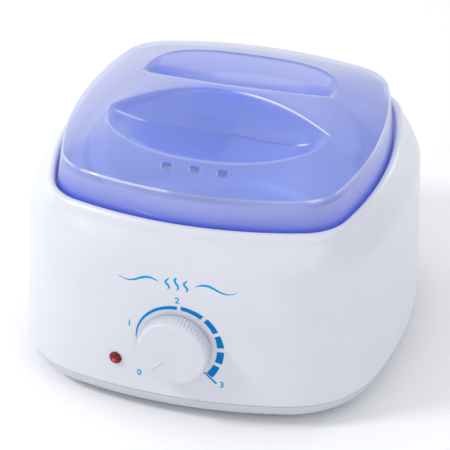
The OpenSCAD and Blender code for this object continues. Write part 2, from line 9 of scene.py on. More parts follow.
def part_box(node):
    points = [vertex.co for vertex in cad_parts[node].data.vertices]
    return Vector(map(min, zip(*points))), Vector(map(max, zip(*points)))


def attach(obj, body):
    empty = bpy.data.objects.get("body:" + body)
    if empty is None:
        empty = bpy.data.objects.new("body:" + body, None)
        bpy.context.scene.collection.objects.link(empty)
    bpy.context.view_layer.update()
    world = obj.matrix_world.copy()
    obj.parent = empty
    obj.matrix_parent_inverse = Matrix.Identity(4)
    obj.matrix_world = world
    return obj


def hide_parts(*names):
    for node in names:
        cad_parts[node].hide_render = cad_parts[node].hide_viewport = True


# Looks of the wax warmer pot. Sizes are millimetres; meshes are built in metres.
# A row of an outline is (half-width, corner ratio, height) of a rounded square with bowed sides.
# The ratio is the corner's radius over the half-width, and 1 makes a circle.
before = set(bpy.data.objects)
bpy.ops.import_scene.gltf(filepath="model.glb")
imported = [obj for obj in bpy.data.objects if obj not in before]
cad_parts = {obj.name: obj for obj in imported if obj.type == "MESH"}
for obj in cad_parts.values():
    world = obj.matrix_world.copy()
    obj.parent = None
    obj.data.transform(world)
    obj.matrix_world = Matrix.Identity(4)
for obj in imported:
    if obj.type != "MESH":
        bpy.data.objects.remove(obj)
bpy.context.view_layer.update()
MM = 0.001


def node_box(node):
    """Lowest and highest corner of a CAD node at rest, in millimetres."""
    return [[round(v / MM, 2) for v in corner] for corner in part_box(node)]


def middle(box, axis):
    """Middle of a box along one axis."""
    return (box[0][axis] + box[1][axis]) / 2


# ---------------- driving sizes
HOUSING = node_box("housing")
SIDE_K = 2.35  # radius of a side's bow over the half-width
BODY_A = HOUSING[1][0]  # half-width of the body at its widest
WALL_T = 2.4
WALL_H = 87.0  # crease between wall and shoulder
PART_Z = 13.5  # parting line
LIP_Z = HOUSING[1][2]  # top of the lip round the lid
DECK_Z = round(LIP_Z - 6.1, 2)  # ledge inside the lip

LID_A = 76.9  # half-width of the lid at its crease
LID_Q = 0.308  # corner ratio of the lid and of the recess round it
LID_IN_Q = 0.29  # corner ratio of the skirt's inner face
LID_T = 2.2  # thickness of the dome
LID_Z = 117.2  # crease between skirt and dome
DOME_H = node_box("lid")[1][2] - LID_Z
CREASE = 1.1  # how far in from the edge the crease starts to round over
GRIP_DEPTH = 15.8
BRIDGE_W = 3.0  # half-width of the bridge between the grips, in the middle
BRIDGE_K = 0.0052  # how fast the bridge widens with the square of x
# side, half-length, distance of the far edge from the middle line, roundness, depth share
GRIPS = ((-1, 54.8, 57.2, 2.24, 1.0), (1, 49.2, 44.5, 3.1, 0.9))

KNOB = node_box("knob")
KNOB_Z = middle(KNOB, 2)
KNOB_R = KNOB[1][0]
KNOB_RIBS = 60
POINTER_H = 0.5
KNOB_BACK = KNOB[1][1]
KNOB_FACE = KNOB[0][1] + POINTER_H

LENS = node_box("lamp_lens")
LAMP_X = -30.8
LAMP_Y = -92.6  # the lens flange's seat on the wall
LAMP_Z = middle(LENS, 2)
LAMP_TURN = math.radians(-8.2)  # the wall's direction there
LENS_R = (LENS[1][2] - LENS[0][2]) / 2

INLET_Z = middle(node_box("inlet_body"), 2)
INLET_W = 14.2  # half-width of the wall's opening for the inlet
INLET_H = 9.2  # its half-height

BAIL = node_box("bail_handle")
BAIL_Z = middle(BAIL, 2)
WIRE_R = (BAIL[1][2] - BAIL[0][2]) / 2
BAIL_R = BAIL[1][0] - WIRE_R

POT = node_box("inner_pot")
POT_R = 60.5  # bore of the pot
POT_FOOT = POT[0][2]
BEAD_R = 1.0
RIM_R = POT[1][0] - BEAD_R  # middle of the rolled rim's bead
RIM_Z = DECK_Z + 1.25  # underside of the rim
CUP = node_box("heating_cup")
CUP_R = 63.3  # bore of the well
CUP_FOOT = CUP[0][2]
FLANGE_R = CUP[1][0]


# ---------------- outline maths
def corner_place(a, s, r):
    """Where on each axis the middle of a corner's arc is, for half-width a, bow s and corner r."""
    b = 2 * (s - a)
    c = (s - a) ** 2 - (s - r) ** 2
    return (-b + np.sqrt(b * b - 8 * c)) / 4


def reach(a, q, phi):
    """Distance from the centre to the edge of an outline (half-width a, ratio q) in direction phi."""
    a, q, phi = np.broadcast_arrays(a, q, phi)
    s = SIDE_K * a
    r = q * a
    c = corner_place(a, s, r)
    f = np.mod(phi, math.pi / 2)
    f = np.where(f > math.pi / 4, math.pi / 2 - f, f)
    t = np.arctan2(c, c + s - a)
    turn = np.arctan2(s * np.sin(t), s * np.cos(t) - (s - a))
    side = np.sqrt(np.maximum(s * s - ((s - a) * np.sin(f)) ** 2, 0)) - (s - a) * np.cos(f)
    inner = np.maximum(r * r - (c * (np.cos(f) - np.sin(f))) ** 2, 0)
    corner = c * (np.cos(f) + np.sin(f)) + np.sqrt(inner)
    return np.where(q >= 1, a, np.where(f <= turn, side, corner))


def outline(a, q, z, phi):
    """Points of one outline row in the directions phi."""
    d = reach(a, q, phi)
    return np.stack([d * np.cos(phi), d * np.sin(phi), np.full(len(phi), z)], 1)


def smooth_rows(rows, sharp, k):
    """Catmull-Rom curve through the rows with k steps between two, broken at the sharp ones."""
    rows = np.asarray(rows, float)
    cuts = [0, *sharp, len(rows) - 1]
    out = []
    for a, b in zip(cuts[:-1], cuts[1:]):
        p = rows[a:b + 1]
        ends = np.vstack([2 * p[0] - p[1], p, 2 * p[-1] - p[-2]])
        for i in range(len(p) - 1):
            p0, p1, p2, p3 = ends[i:i + 4]
            for j in range(k):
                t = j / k
                out.append(0.5 * (2 * p1 + (p2 - p0) * t + (2 * p0 - 5 * p1 + 4 * p2 - p3) * t * t
                                  + (3 * p1 - p0 - 3 * p2 + p3) * t ** 3))
    out.append(rows[-1])
    return np.array(out)


def smooth_curve(x, xs, ys):
    """Smooth curve through a few points that never overshoots them."""
    xs = np.asarray(xs, float)
    ys = np.asarray(ys, float)
    h = np.diff(xs)
    d = np.diff(ys) / h
    m = np.zeros(len(xs))
    m[0] = d[0]
    m[-1] = d[-1]
    for i in range(1, len(xs) - 1):
        if d[i - 1] * d[i] > 0:
            w1 = 2 * h[i] + h[i - 1]
            w2 = h[i] + 2 * h[i - 1]
            m[i] = (w1 + w2) / (w1 / d[i - 1] + w2 / d[i])
    x = np.clip(x, xs[0], xs[-1])
    i = np.clip(np.searchsorted(xs, x) - 1, 0, len(h) - 1)
    t = (x - xs[i]) / h[i]
    return ((2 * t ** 3 - 3 * t ** 2 + 1) * ys[i] + (t ** 3 - 2 * t ** 2 + t) * h[i] * m[i]
            + (3 * t ** 2 - 2 * t ** 3) * ys[i + 1] + (t ** 3 - t ** 2) * h[i] * m[i + 1])


def bezier(t, p0, p1, p2):
    """Point at t on the curve that leaves p0 and reaches p2 in line with p1."""
    return (1 - t) ** 2 * p0 + 2 * t * (1 - t) * p1 + t * t * p2


def arc(x, y, r, start, end, n):
    """n points of an arc round (x, y), by angle from straight down towards +X."""
    return [(x + r * math.sin(t), y - r * math.cos(t)) for t in np.linspace(start, end, n)]


def window(v, low, high, soft):
    """1 between low and high, fading to 0 over a soft margin inside them."""
    return np.clip((v - low) / soft, 0, 1) * np.clip((high - v) / soft, 0, 1)


def lens_point(x, y, z):
    """Place on the front of a point of the lens, whose own axis is Z and whose flange is at zero."""
    c = math.cos(LAMP_TURN)
    s = math.sin(LAMP_TURN)
    return Vector((LAMP_X + c * x + s * z, LAMP_Y + s * x - c * z, LAMP_Z + y))


# ---------------- mesh helpers
def shade(mesh, angle):
    """Smooth shading, with edges that turn more than the angle left sharp."""
    mesh.polygons.foreach_set("use_smooth", [True] * len(mesh.polygons))
    mesh.set_sharp_from_angle(angle=math.radians(angle))


def add_object(name, data):
    ob = bpy.data.objects.new(name, data)
    bpy.context.scene.collection.objects.link(ob)
    return ob


def new_mesh(name, verts, faces, mat, angle=35):
    me = bpy.data.meshes.new(name)
    me.from_pydata([tuple(v) for v in np.asarray(verts, float) * MM], [], faces)
    me.validate()
    bm = bmesh.new()
    bm.from_mesh(me)
    bmesh.ops.recalc_face_normals(bm, faces=bm.faces)
    bm.to_mesh(me)
    bm.free()
    shade(me, angle)
    me.materials.append(mat)
    return add_object(name, me)


def place(piece, body, node=None):
    """Gives a piece the body it rides on; with a node, the piece stands for it and the node is hidden."""
    if node:
        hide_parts(node)
    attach(piece, body)


def ring_faces(m, n, closed):
    """Faces between m rings of n points each."""
    faces = []
    for j in range(m if closed else m - 1):
        k = (j + 1) % m
        for i in range(n):
            h = (i + 1) % n
            faces.append((j * n + i, j * n + h, k * n + h, k * n + i))
    return faces


def end_caps(m, n):
    """Faces over the first and the last of m rings of n points."""
    return [tuple(range(n)), tuple((m - 1) * n + i for i in range(n))]


def sheet_faces(nx, ny):
    """Faces of two grids of nx by ny points, the second one turned over."""
    k = nx * ny
    faces = []
    for j in range(ny - 1):
        for i in range(nx - 1):
            a = j * nx + i
            faces.append((a, a + 1, a + nx + 1, a + nx))
            faces.append((k + a, k + a + nx, k + a + nx + 1, k + a + 1))
    return faces


def sheet_edge(nx, ny):
    """Points round the edge of a grid, in order."""
    return (list(range(nx)) + [j * nx + nx - 1 for j in range(1, ny)]
            + [(ny - 1) * nx + i for i in range(nx - 2, -1, -1)] + [j * nx for j in range(ny - 2, 0, -1)])


def turn_round(n):
    """n directions round a full turn."""
    return np.arange(n) * 2 * math.pi / n


def loft(name, rows, mat, caps=False):
    """Shell through outline rows: a closed loop of rows, or capped at both ends."""
    n = 360
    phi = turn_round(n)
    verts = [outline(a, q, z, phi) for a, q, z in np.asarray(rows, float)]
    faces = ring_faces(len(rows), n, not caps)
    if caps:
        faces += end_caps(len(rows), n)
    return new_mesh(name, np.concatenate(verts), faces, mat)


def lathe(name, profile, mat, n):
    """Profile of (radius, height) turned about Z; a zero radius becomes one pole."""
    phi = turn_round(n)
    verts = []
    rings = []
    for r, z in np.asarray(profile, float):
        if r < 1e-6:
            rings.append([len(verts)] * n)
            verts.append((0, 0, z))
        else:
            rings.append(list(range(len(verts), len(verts) + n)))
            verts += [(r * math.cos(p), r * math.sin(p), z) for p in phi]
    faces = []
    for a, b in zip(rings[:-1], rings[1:]):
        for i in range(n):
            h = (i + 1) % n
            quad = [a[i], a[h], b[h], b[i]]
            faces.append(tuple(v for k, v in enumerate(quad) if v not in quad[:k]))
    return new_mesh(name, verts, faces, mat)


def bevel(ob, width, segments=2):
    m = ob.modifiers.new("edge", "BEVEL")
    m.width = width * MM
    m.segments = segments
    m.limit_method = "ANGLE"
    m.angle_limit = math.radians(30)


def round_uprights(mesh, radius):
    """Rounds a box's four upright edges."""
    bm = bmesh.new()
    bm.from_mesh(mesh)
    upright = [e for e in bm.edges if abs(e.verts[0].co.z - e.verts[1].co.z) > 1e-4]
    bmesh.ops.bevel(bm, geom=upright, offset=radius * MM, segments=4, profile=0.5, affect="EDGES")
    bm.to_mesh(mesh)
    bm.free()


def cut(ob, boxes, angle, corner=0.0):
    """Cuts boxes (low corner, high corner) out of a mesh and shades it again."""
    for lo, hi in boxes:
        bpy.ops.mesh.primitive_cube_add(size=1)
        cutter = bpy.context.active_object
        lo = np.array(lo, float) * MM
        hi = np.array(hi, float) * MM
        for v in cutter.data.vertices:
            v.co = Vector((lo + hi) / 2) + Vector(np.array(v.co) * (hi - lo))
        if corner:
            round_uprights(cutter.data, corner)
        m = ob.modifiers.new("cut", "BOOLEAN")
        m.object = cutter
        m.operation = "DIFFERENCE"
        m.solver = "EXACT"
        bpy.context.view_layer.objects.active = ob
        bpy.ops.object.modifier_apply(modifier="cut")
        bpy.data.objects.remove(cutter)
    shade(ob.data, angle)


# ---------------- materials
class Nodes:
    """Builder of one procedural material."""

    def __init__(self, name):
        self.mat = bpy.data.materials.new(name)
        self.mat.use_nodes = True
        self.t = self.mat.node_tree
        self.b = self.t.nodes["Principled BSDF"]
        self.out = self.t.nodes["Material Output"]
        self.co = self.t.nodes.new("ShaderNodeTexCoord")

    def add(self, kind, **vals):
        n = self.t.nodes.new(kind)
        for k, v in vals.items():
            if k in n.inputs:
                n.inputs[k].default_value = v
            else:
                setattr(n, k, v)
        return n

    def link(self, a, b):
        self.t.links.new(a, b)

    def feed(self, socket, value):
        """Sets a socket to a number or a colour, or links it to another socket."""
        if isinstance(value, (float, tuple)):
            socket.default_value = value
        else:
            self.link(value, socket)

    def base(self, socket, value):
        """Feeds one input of the main shader."""
        self.feed(self.b.inputs[socket], value)

    def set(self, **vals):
        for k, v in vals.items():
            self.b.inputs[k.replace("_", " ")].default_value = v

    def noise(self, scale, detail, rough=0.5, stretch=None):
        n = self.add("ShaderNodeTexNoise", Scale=scale, Detail=detail, Roughness=rough)
        where = self.co.outputs["Object"]
        if stretch:
            m = self.add("ShaderNodeMapping", Scale=stretch)
            self.link(where, m.inputs["Vector"])
            where = m.outputs["Vector"]
        self.link(where, n.inputs["Vector"])
        return n.outputs["Fac"]

    def ramp(self, fac, stops):
        r = self.add("ShaderNodeValToRGB")
        e = r.color_ramp.elements
        while len(e) < len(stops):
            e.new(0.5)
        for el, (pos, col) in zip(e, stops):
            el.position = pos
            el.color = (*col, 1)
        self.link(fac, r.inputs["Fac"])
        return r.outputs["Color"]

    def map_range(self, side, value, lo, hi):
        m = self.add("ShaderNodeMapRange")
        m.inputs[side + " Min"].default_value = lo
        m.inputs[side + " Max"].default_value = hi
        self.link(value, m.inputs["Value"])
        return m.outputs["Result"]

    def span(self, value, lo, hi):
        """Spreads 0 to 1 over lo to hi."""
        return self.map_range("To", value, lo, hi)

    def limits(self, value, lo, hi):
        """0 at lo and 1 at hi, and no further."""
        return self.map_range("From", value, lo, hi)

    def bump(self, fac, strength, distance):
        b = self.add("ShaderNodeBump", Strength=strength, Distance=distance)
        self.link(fac, b.inputs["Height"])
        return b.outputs["Normal"]

    def attribute(self, name):
        return self.add("ShaderNodeAttribute", attribute_name=name).outputs["Fac"]

    def height(self, low, high):
        """0 at one height and 1 at another, in millimetres."""
        sep = self.add("ShaderNodeSeparateXYZ")
        self.link(self.co.outputs["Object"], sep.inputs["Vector"])
        return self.limits(sep.outputs["Z"], low * MM, high * MM)

    def mix(self, fac, a, b):
        n = self.add("ShaderNodeMixShader")
        for i, value in enumerate((fac, a, b)):
            self.feed(n.inputs[i], value)
        return n.outputs["Shader"]

    def maths(self, kind, a, b):
        n = self.add("ShaderNodeMath", operation=kind)
        for i, value in enumerate((a, b)):
            self.feed(n.inputs[i], value)
        return n.outputs["Value"]

    def blend_colour(self, kind, fac, a, b):
        n = self.add("ShaderNodeMix", data_type="RGBA", blend_type=kind)
        for socket, value in (("Factor", fac), ("A", a), ("B", b)):
            self.feed(n.inputs[socket], value)
        return n.outputs["Result"]


def shades(col, dark, light, start=0.3):
    """Ramp from a darker to a lighter shade of a colour."""
    return [(at, tuple(min(c * f, 1) for c in col)) for at, f in ((start, dark), (1 - start, light))]


def plastic(name, col, rough=0.3, coat=0.25, bump=0.03, sss=0.04):
    m = Nodes(name)
    m.base("Base Color", m.ramp(m.noise(25, 3), shades(col, 0.975, 1.02)))
    m.base("Roughness", m.span(m.noise(60, 5), rough * 0.85, rough * 1.2))
    m.base("Normal", m.bump(m.noise(900, 4, 0.6), bump, 0.0003))
    m.set(Coat_Weight=coat, Coat_Roughness=0.12, Subsurface_Weight=sss, Subsurface_Scale=0.004)
    m.set(Subsurface_Radius=(1, 1, 1))
    return m.mat


def metal(name, col, rough=0.3, stretch=60, scale=60, streak=0.25, bump=0.05, share=1.0):
    """Turned or drawn metal: fine lines, stretch times finer along Z than across it."""
    m = Nodes(name)
    lines = m.noise(scale, 6, 0.65, (1, 1, stretch))
    m.base("Base Color", m.ramp(lines, shades(col, 0.86, 1.08, 0.25)))
    m.base("Roughness", m.span(lines, rough * (1 - streak), rough * (1 + streak)))
    m.base("Normal", m.bump(lines, bump, 0.0004))
    m.set(Metallic=share)
    return m.mat


def rubber(name, col, rough=0.75):
    m = Nodes(name)
    m.base("Base Color", m.ramp(m.noise(90, 6, 0.7), shades(col, 0.7, 1.4)))
    m.base("Normal", m.bump(m.noise(1400, 3, 0.7), 0.25, 0.0004))
    m.set(Roughness=rough)
    return m.mat


def fibre(name, col):
    m = Nodes(name)
    strands = m.noise(700, 8, 0.8, (1, 1, 6))
    m.base("Base Color", m.ramp(strands, shades(col, 0.72, 1.1, 0.25)))
    m.base("Normal", m.bump(strands, 0.8, 0.001))
    m.set(Roughness=0.95)
    return m.mat


def lens_red():
    """Dark red lens, darker at its rim, with a paler spot painted at the middle of its dome as a highlight.
    """
    m = Nodes("lens_red")
    away = m.add("ShaderNodeVectorMath", operation="DISTANCE")
    m.link(m.co.outputs["Object"], away.inputs[0])
    # painted highlight: pale pink at the dome's middle, fading into the red
    away.inputs[1].default_value = [c * MM for c in lens_point(0, 0, LENS_R - 0.45)]
    out = m.limits(away.outputs["Value"], 0.0, LENS_R * MM)
    m.base("Base Color", m.ramp(out, [(0.12, (0.62, 0.12, 0.15)), (0.34, (0.26, 0.002, 0.016)),
                                      (0.75, (0.22, 0.001, 0.012)), (0.95, (0.1, 0.0, 0.004))]))
    m.set(Roughness=0.1, Specular_IOR_Level=0.35)
    return m.mat


def lid_colour(m):
    """Milky blue with painted light and shade: deeper towards the skirt's foot, in hollows and wherever the
    mesh's painted tone says so, paler at a low angle, and with dark lines where the mesh's shine is below
    zero.
    """
    # painted shade: the blue darkens towards the skirt's foot, where the recess keeps the light off, and
    # pales towards the top
    height = m.height(DECK_Z, LID_Z + DOME_H)
    colour = m.ramp(height, [(0.0, (0.07, 0.13, 0.68)), (0.12, (0.19, 0.25, 0.75)),
                             (0.38, (0.37, 0.41, 0.76)), (0.54, (0.43, 0.48, 0.86)),
                             (0.7, (0.45, 0.52, 1.0))])
    # painted shade: the blue is darkened in hollows, where the grips and the skirt's foot are closed in
    hollow = m.add("ShaderNodeAmbientOcclusion", samples=6, Distance=0.035)
    hollow_shade = m.ramp(hollow.outputs["AO"], [(0.55, (0.5, 0.6, 0.95)), (0.95, (1, 1, 1))])
    # painted light and shade carried by the mesh: bluer where its tone is above zero, paler below
    shade_tone = m.attribute("shade_tone")
    deep = m.ramp(shade_tone, [(0.0, (1, 1, 1)), (1.0, (0.64, 0.75, 1.0))])
    cloud = m.ramp(m.noise(30, 3), [(0.3, (0.95, 0.95, 0.98)), (0.7, (1, 1, 1))])
    for layer in (hollow_shade, deep, cloud):
        colour = m.blend_colour("MULTIPLY", 1.0, colour, layer)
    # painted sheen: the dome is painted paler where it is seen at a low angle, standing in for its
    # reflection, and wherever the painted tone is below zero
    slant = m.add("ShaderNodeLayerWeight", Blend=0.5)
    pale = m.limits(slant.outputs["Facing"], 0.43, 0.7)
    pale = m.maths("MULTIPLY", pale, m.limits(shade_tone, 0.5, 0.0))
    pale = m.maths("MULTIPLY", pale, m.limits(height, 0.44, 0.56))
    pale = m.maths("MAXIMUM", pale, m.limits(shade_tone, 0.0, -1.0))
    colour = m.blend_colour("MIX", pale, colour, (0.78, 0.81, 0.98, 1))
    line = m.limits(m.attribute("shine"), 0.0, -1.0)
    return m.blend_colour("MIX", line, colour, (0.08, 0.14, 0.75, 1))


def lid_plastic():
    """Tinted plastic: milky blue over see-through, and glossy on top."""
    m = Nodes("lid_clear")
    colour = lid_colour(m)
    m.base("Base Color", colour)
    m.base("Roughness", m.span(m.noise(80, 4), 0.16, 0.26))
    m.set(Specular_IOR_Level=0.0)
    milk = m.add("ShaderNodeBsdfTranslucent")
    m.link(colour, milk.inputs["Color"])
    body = m.mix(0.3, m.b.outputs["BSDF"], milk.outputs["BSDF"])
    # how much hides what is behind: more at a low angle, on the skirt and where the mesh says so
    clear = m.add("ShaderNodeBsdfTransparent", Color=(0.6, 0.68, 0.99, 1))
    facing = m.add("ShaderNodeLayerWeight", Blend=0.4)
    skirt = m.limits(m.height(DECK_Z, LID_Z + DOME_H), 0.56, 0.44)
    hide = m.span(facing.outputs["Facing"], 0.5, 0.95)
    hide = m.maths("MAXIMUM", hide, m.maths("MULTIPLY", skirt, 0.93))
    hide = m.maths("MAXIMUM", hide, m.maths("MULTIPLY", m.attribute("solid"), 0.78))
    body = m.mix(hide, clear.outputs["BSDF"], body)
    # light reaches the inside more freely than the eye does
    ray = m.add("ShaderNodeLightPath")
    airy = m.add("ShaderNodeBsdfTransparent", Color=(0.93, 0.95, 1, 1))
    body = m.mix(ray.outputs["Is Shadow Ray"], body, airy.outputs["BSDF"])
    gloss = m.add("ShaderNodeBsdfGlossy", Roughness=0.05)
    m.link(m.bump(m.noise(400, 2), 0.02, 0.0003), gloss.inputs["Normal"])
    fresnel = m.add("ShaderNodeFresnel", IOR=1.52)
    body = m.mix(fresnel.outputs["Fac"], body, gloss.outputs["BSDF"])
    bright = m.add("ShaderNodeBsdfDiffuse", Color=(0.9, 0.92, 1.0, 1))
    body = m.mix(m.limits(m.attribute("shine"), 0.0, 1.0), body, bright.outputs["BSDF"])
    # the wall's second surface, met from inside, adds nothing
    back = m.add("ShaderNodeNewGeometry")
    none = m.add("ShaderNodeBsdfTransparent")
    m.link(m.mix(back.outputs["Backfacing"], body, none.outputs["BSDF"]), m.out.inputs["Surface"])
    return m.mat


def dial_ink():
    """Print of the dial, a little lighter at its left end."""
    m = Nodes("dial_ink")
    sep = m.add("ShaderNodeSeparateXYZ")
    m.link(m.co.outputs["Object"], sep.inputs["Vector"])
    across = m.limits(sep.outputs["X"], -24 * MM, 24 * MM)
    m.base("Base Color", m.ramp(across, [(0.0, (0.0, 0.24, 0.6)), (1.0, (0.0, 0.18, 0.5))]))
    m.base("Normal", m.bump(m.noise(2500, 2), 0.05, 0.0002))
    m.set(Roughness=0.5, Specular_IOR_Level=0.05)
    return m.mat


def pale_ink():
    """Print of the digits and the ornament."""
    m = Nodes("pale_ink")
    m.base("Base Color", m.ramp(m.noise(800, 2), [(0.3, (0.0, 0.3, 0.6)), (0.7, (0.0, 0.36, 0.66))]))
    m.set(Roughness=0.5, Specular_IOR_Level=0.05)
    return m.mat


shell = plastic("shell", (0.66, 0.675, 0.735))
base_mat = plastic("base", (0.55, 0.56, 0.64), 0.4)
knob_mat = plastic("knob_white", (0.625, 0.635, 0.7), 0.28, sss=0)
cup_alu = metal("cup_metal", (0.68, 0.69, 0.7), 0.34, 90, 40)
pot_alu = metal("pot_metal", (0.82, 0.83, 0.84), 0.6, 120, 40, share=0.75)
chrome = metal("wire_steel", (0.74, 0.74, 0.76), 0.12, streak=0.15, bump=0.01)
red_mat = lens_red()
grip_mat = plastic("grip_white", (0.66, 0.67, 0.73), 0.4, coat=0, bump=0.2, sss=0)
lid_mat = lid_plastic()
ink = dial_ink()
ink_pale = pale_ink()
NODES_OF = (
    (shell, "housing"),
    (base_mat, "base_cover"),
    (knob_mat, "knob"),
    (red_mat, "lamp_lens"),
    (lid_mat, "lid"),
    (pot_alu, "inner_pot"),
    (chrome, "bail_handle"),
    (grip_mat, "bail_grip"),
    (cup_alu, "heating_cup heat_shield"),
    (metal("screw_steel", (0.6, 0.6, 0.62)),
     "base_screws band_clamp_screw shield_posts inlet_screws thermostat_nut thermostat_shaft"),
    (metal("ring_steel", (0.52, 0.52, 0.54), 0.35), "retaining_ring fuse_clip bulb_clips"),
    (metal("copper", (0.72, 0.42, 0.28)), "sensor_bulb capillary_tube"),
    (metal("band_metal", (0.55, 0.5, 0.42), 0.4), "heater_band"),
    (metal("fuse_metal", (0.7, 0.7, 0.68)), "thermal_fuse"),
    (metal("pin_brass", (0.72, 0.66, 0.5), 0.22), "inlet_pins"),
    (metal("lug_steel", (0.8, 0.8, 0.82), 0.5, share=0.6), "bail_lugs"),
    (fibre("insulation", (0.8, 0.78, 0.7)), "insulation_sleeve"),
    (plastic("thermostat", (0.16, 0.08, 0.045), 0.5, coat=0, sss=0), "thermostat_body"),
    (plastic("lamp_sleeve", (0.7, 0.66, 0.58), 0.5, coat=0), "lamp_body"),
    (plastic("terminal_white", (0.8, 0.79, 0.72), 0.5, coat=0), "terminal_block"),
    (plastic("inlet_black", (0.02, 0.02, 0.022), 0.45, coat=0, bump=0.2, sss=0), "inlet_body"),
    (rubber("foot_rubber", (0.05, 0.05, 0.055)), "feet"),
    (rubber("lead_black", (0.03, 0.03, 0.03), 0.5), "mains_leads"),
    (rubber("lead_red", (0.36, 0.02, 0.02), 0.5), "thermostat_leads"),
    (rubber("lead_blue", (0.02, 0.08, 0.32), 0.5), "fuse_leads"),
    (rubber("lamp_black", (0.03, 0.03, 0.03), 0.5), "lamp_lead"),
)
for mat, nodes in NODES_OF:
    for node in nodes.split():
        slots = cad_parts[node].data.materials
        slots.clear()
        slots.append(mat)


# ---------------- housing and base
def build_inlet_seat():
    """Flat seat moulded on the back wall for the inlet's flange, open in the middle."""
    w = 25
    h = 12.5
    rim = [(-w, -h), (w, -h), (w, h), (-w, h)]
    hole = [(-INLET_W, -INLET_H), (INLET_W, -INLET_H), (INLET_W, INLET_H), (-INLET_W, INLET_H)]
    verts = [(x, y, z + INLET_Z) for y in (BODY_A - WALL_T, BODY_A + 0.6) for x, z in rim + hole]
    faces = []
    for i in range(4):
        j = (i + 1) % 4
        faces.append((i, j, 4 + j, 4 + i))
        faces.append((8 + i, 12 + i, 12 + j, 8 + j))
        faces.append((i, 8 + i, 8 + j, j))
        faces.append((4 + i, 4 + j, 12 + j, 12 + i))
    seat = new_mesh("inlet_seat", verts, faces, shell)
    bevel(seat, 0.6, 3)
    place(seat, "base")


def build_housing():
    """Bowed wall, crease, soft shoulder and a lip round the recess; the deck inside holds the well."""
    a = BODY_A
    outer = smooth_rows([
        (a - 0.9, 0.5, PART_Z + 0.1), (a - 0.25, 0.505, PART_Z + 0.5), (a, 0.505, PART_Z + 1.6),
        (a - 0.25, 0.53, 30), (a - 0.6, 0.56, 46), (a - 1.1, 0.585, 64), (a - 1.6, 0.61, WALL_H - 7),
        (a - 1.85, 0.619, WALL_H - 2.4), (a - 2.15, 0.619, WALL_H - 0.4), (a - 2.9, 0.6, WALL_H + 1.5),
        (a - 4.3, 0.56, WALL_H + 4), (a - 6.4, 0.48, WALL_H + 7.1), (a - 8.3, 0.4, LIP_Z - 6.4),
        (a - 9.6, 0.345, LIP_Z - 4.4), (a - 10.3, 0.32, LIP_Z - 2.5), (a - 11, 0.31, LIP_Z - 1.3),
        (a - 11.9, LID_Q, LIP_Z - 0.35), (a - 13, LID_Q, LIP_Z), (a - 14, LID_Q, LIP_Z - 0.25),
        (a - 14.65, LID_Q, LIP_Z - 1.1), (a - 14.85, LID_Q, LIP_Z - 2.4)], (), 4)
    deck_low = DECK_Z - WALL_T
    well = 65.5
    inner = [
        (a - 15.05, LID_Q, DECK_Z), (well, 1, DECK_Z), (well, 1, deck_low), (a - 15, 0.34, deck_low),
        (a - 8.7, 0.46, WALL_H + 5.2), (a - 5.4, 0.57, WALL_H + 1), (a - 4.4, 0.61, WALL_H - 2),
        (a - 3.5, 0.575, 64), (a - WALL_T - 0.6, 0.55, 46), (a - WALL_T, 0.492, PART_Z + 0.1)]
    ob = loft("housing_shell", np.vstack([outer, inner]), shell)
    cut(ob, [((-INLET_W, 80, INLET_Z - INLET_H), (INLET_W, 110, INLET_Z + INLET_H))], 35)
    place(ob, "base", "housing")


def build_base_cover():
    """Tucked-under bottom with rows of slots and a pocket at each screw."""
    a = BODY_A
    t = WALL_T
    outer = smooth_rows([
        (a - 11.6, 0.44, 2.5), (a - 10.2, 0.45, 2.85), (a - 6.6, 0.47, 4.4), (a - 3.2, 0.49, 6.8),
        (a - 1.25, 0.5, 9.8), (a - 0.5, 0.505, 12.4), (a - 0.9, 0.505, PART_Z)], (), 4)
    inner = [(a - t - 0.1, 0.505, PART_Z), (a - t - 0.1, 0.505, PART_Z + 3), (a - t - 2.2, 0.49, PART_Z + 3),
             (a - t - 2.2, 0.475, 11), (a - 7, 0.46, 7.6), (a - 11.6, 0.44, 5)]
    ob = loft("base_shell", np.vstack([outer, inner]), base_mat, caps=True)
    slots = [((x - 9, y - 1.5, 0), (x + 9, y + 1.5, 8)) for x in (-66, 66) for y in range(-24, 25, 8)]
    pockets = [((x - 2.6, y - 2.6, 0), (x + 2.6, y + 2.6, 8)) for x in (-62, 62) for y in (-62, 62)]
    cut(ob, slots + pockets, 30)
    place(ob, "base", "base_cover")


# ---------------- lid
# The lid's top is one grid, bent to follow the grips. Its columns go from -2 (left edge) to 2, with the
# grips' ends at -1 and 1. Its lines go from -10 (front edge) to 10: 0 is the middle line, 2 a grip's edge on
# the bridge, 7 its far edge.
LINE_SHARE = [0, 0, 0, 0.12, 0.26, 0.46, 0.72, 1]  # how far across a grip each line is
SIDE_DEG = [0, 12, 23.5, 24.7, 26.2, 28, 30, 32, 36, 40.5, 45]  # where each line meets the lid's side
MID_HALF = 52  # where columns -1 and 1 cross the middle line
SHADE_LIMIT = 28  # degrees past which an edge stays sharp


def dome_z(x, y):
    """Height of the dome without its grips: nearly square low down and round at the top."""
    f = np.hypot(x, y) / reach(LID_A, LID_Q, np.arctan2(y, x))
    square = (np.abs(x) ** 3.2 + np.abs(y) ** 3.2) ** (1 / 3.2) / LID_A
    m = square * (1 - f * f) + f ** 3
    return LID_Z + DOME_H * (1 - np.minimum(m, 1) ** 2.14)


def bridge_edge(x):
    """Distance of the bridge's edge from the middle line."""
    return BRIDGE_W + BRIDGE_K * x ** 2


def far_edge(u, near, tip, far, m):
    """Distance of a grip's far edge from the middle line, at u from its middle (0) to its end (1)."""
    end = bridge_edge(tip)
    return np.maximum(end + (far - end) * (1 - u ** m) ** (1 / m), near + 0.8)


def grip_edges(x, tip, far, m):
    """How far along a grip x is (1 at its end), and its two edges' distances from the middle line."""
    u = np.clip(np.abs(x) / tip, 0, 1)
    near = bridge_edge(np.minimum(np.abs(x), tip))
    return u, near, far_edge(u, near, tip, far, m)


def soft_start(t, e):
    """t above 0 and 0 below it, rounded over about e."""
    return (t + np.sqrt(t * t + e * e)) / 2


